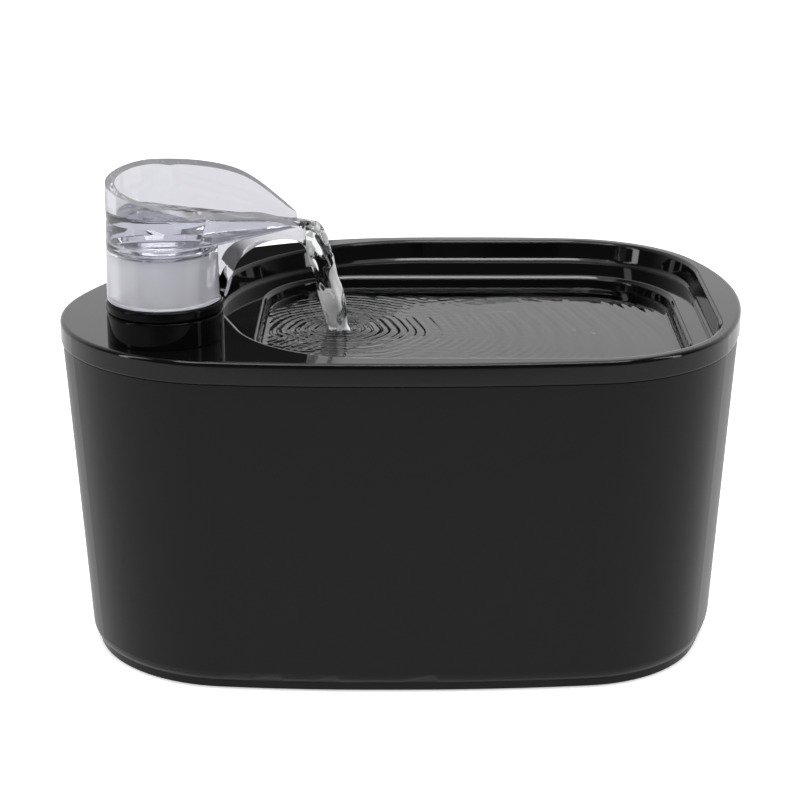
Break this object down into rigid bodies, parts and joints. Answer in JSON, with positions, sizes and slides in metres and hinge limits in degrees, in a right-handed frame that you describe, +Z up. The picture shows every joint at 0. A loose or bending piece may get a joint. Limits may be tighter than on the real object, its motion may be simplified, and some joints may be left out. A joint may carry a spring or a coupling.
{
  "type": "pet water fountain",
  "caption": "Rounded black table-top pet water fountain: tapered tank, gloss drip tray with a stepped basin, and a clear beaked cup on a swivelling collar.",
  "frame": {"origin": "on the floor, under the middle of the plan", "axes": "+X along the long side, away from the spout; +Y towards the back; +Z up"},
  "size_m": [0.26, 0.186, 0.1913],
  "materials": {
    "satin_black": "satin moulded",
    "gloss_black": "high gloss",
    "clear_plastic": "clear, polished",
    "clear_tube": "clear",
    "pump_black": "fine texture",
    "white_plastic": "plain moulded",
    "black_rubber": "matte",
    "grey_rubber": "matte",
    "white_ceramic": "ground",
    "ferrite": "ground",
    "grey_foam": "open cell",
    "white_felt": "felted",
    "carbon": "granules in a pad"
  },
  "bodies": {
    "base": {"tank": "satin_black", "rubber_feet": "black_rubber", "cable_grommet": "black_rubber", "pump_body": "pump_black", "pump_cover": "pump_black", "pump_cable_gland": "black_rubber", "suction_cups": "grey_rubber", "riser_coupling": "black_rubber", "impeller_shaft": "white_ceramic", "shaft_bushes": "black_rubber", "intake_cap": "pump_black", "intake_foam": "grey_foam"},
    "lid": {"tray": "gloss_black", "collar_base": "gloss_black", "collar_gasket": "grey_rubber", "collar_nut": "pump_black", "riser_tube": "clear_tube", "riser_seal": "grey_rubber"},
    "swivel": {"collar_ring": "gloss_black", "spigot_seal": "grey_rubber"},
    "spout": {"spout_cup": "clear_plastic"},
    "cartridge": {"filter_frame": "pump_black", "filter_media": "carbon", "filter_felt": "white_felt", "filter_lid": "gloss_black"},
    "impeller": {"impeller_wheel": "white_plastic", "rotor_magnet": "ferrite"},
    "slider": {"flow_slider": "white_plastic"}
  },
  "joints": [
    {"name": "tray_lift", "type": "slide", "parent": "base", "child": "lid", "axis": [0, 0, 1], "range_m": [0, 0.06]},
    {"name": "spout_swivel", "type": "hinge", "parent": "lid", "child": "swivel", "pos_m": [-0.087, -0.056, 0.14], "axis": [0, 0, 1], "range_deg": [-40, 20]},
    {"name": "cup_lift", "type": "slide", "parent": "swivel", "child": "spout", "axis": [0, 0, 1], "range_m": [0, 0.03]},
    {"name": "cartridge_lift", "type": "slide", "parent": "lid", "child": "cartridge", "axis": [0, 0, 1], "range_m": [0, 0.05]},
    {"name": "impeller_spin", "type": "hinge", "parent": "base", "child": "impeller", "pos_m": [-0.0792, -0.05, 0.028], "axis": [0, 1, 0], "continuous": true},
    {"name": "flow_slide", "type": "slide", "parent": "base", "child": "slider", "axis": [0, 0, 1], "range_m": [0, 0.007]}
  ]
}
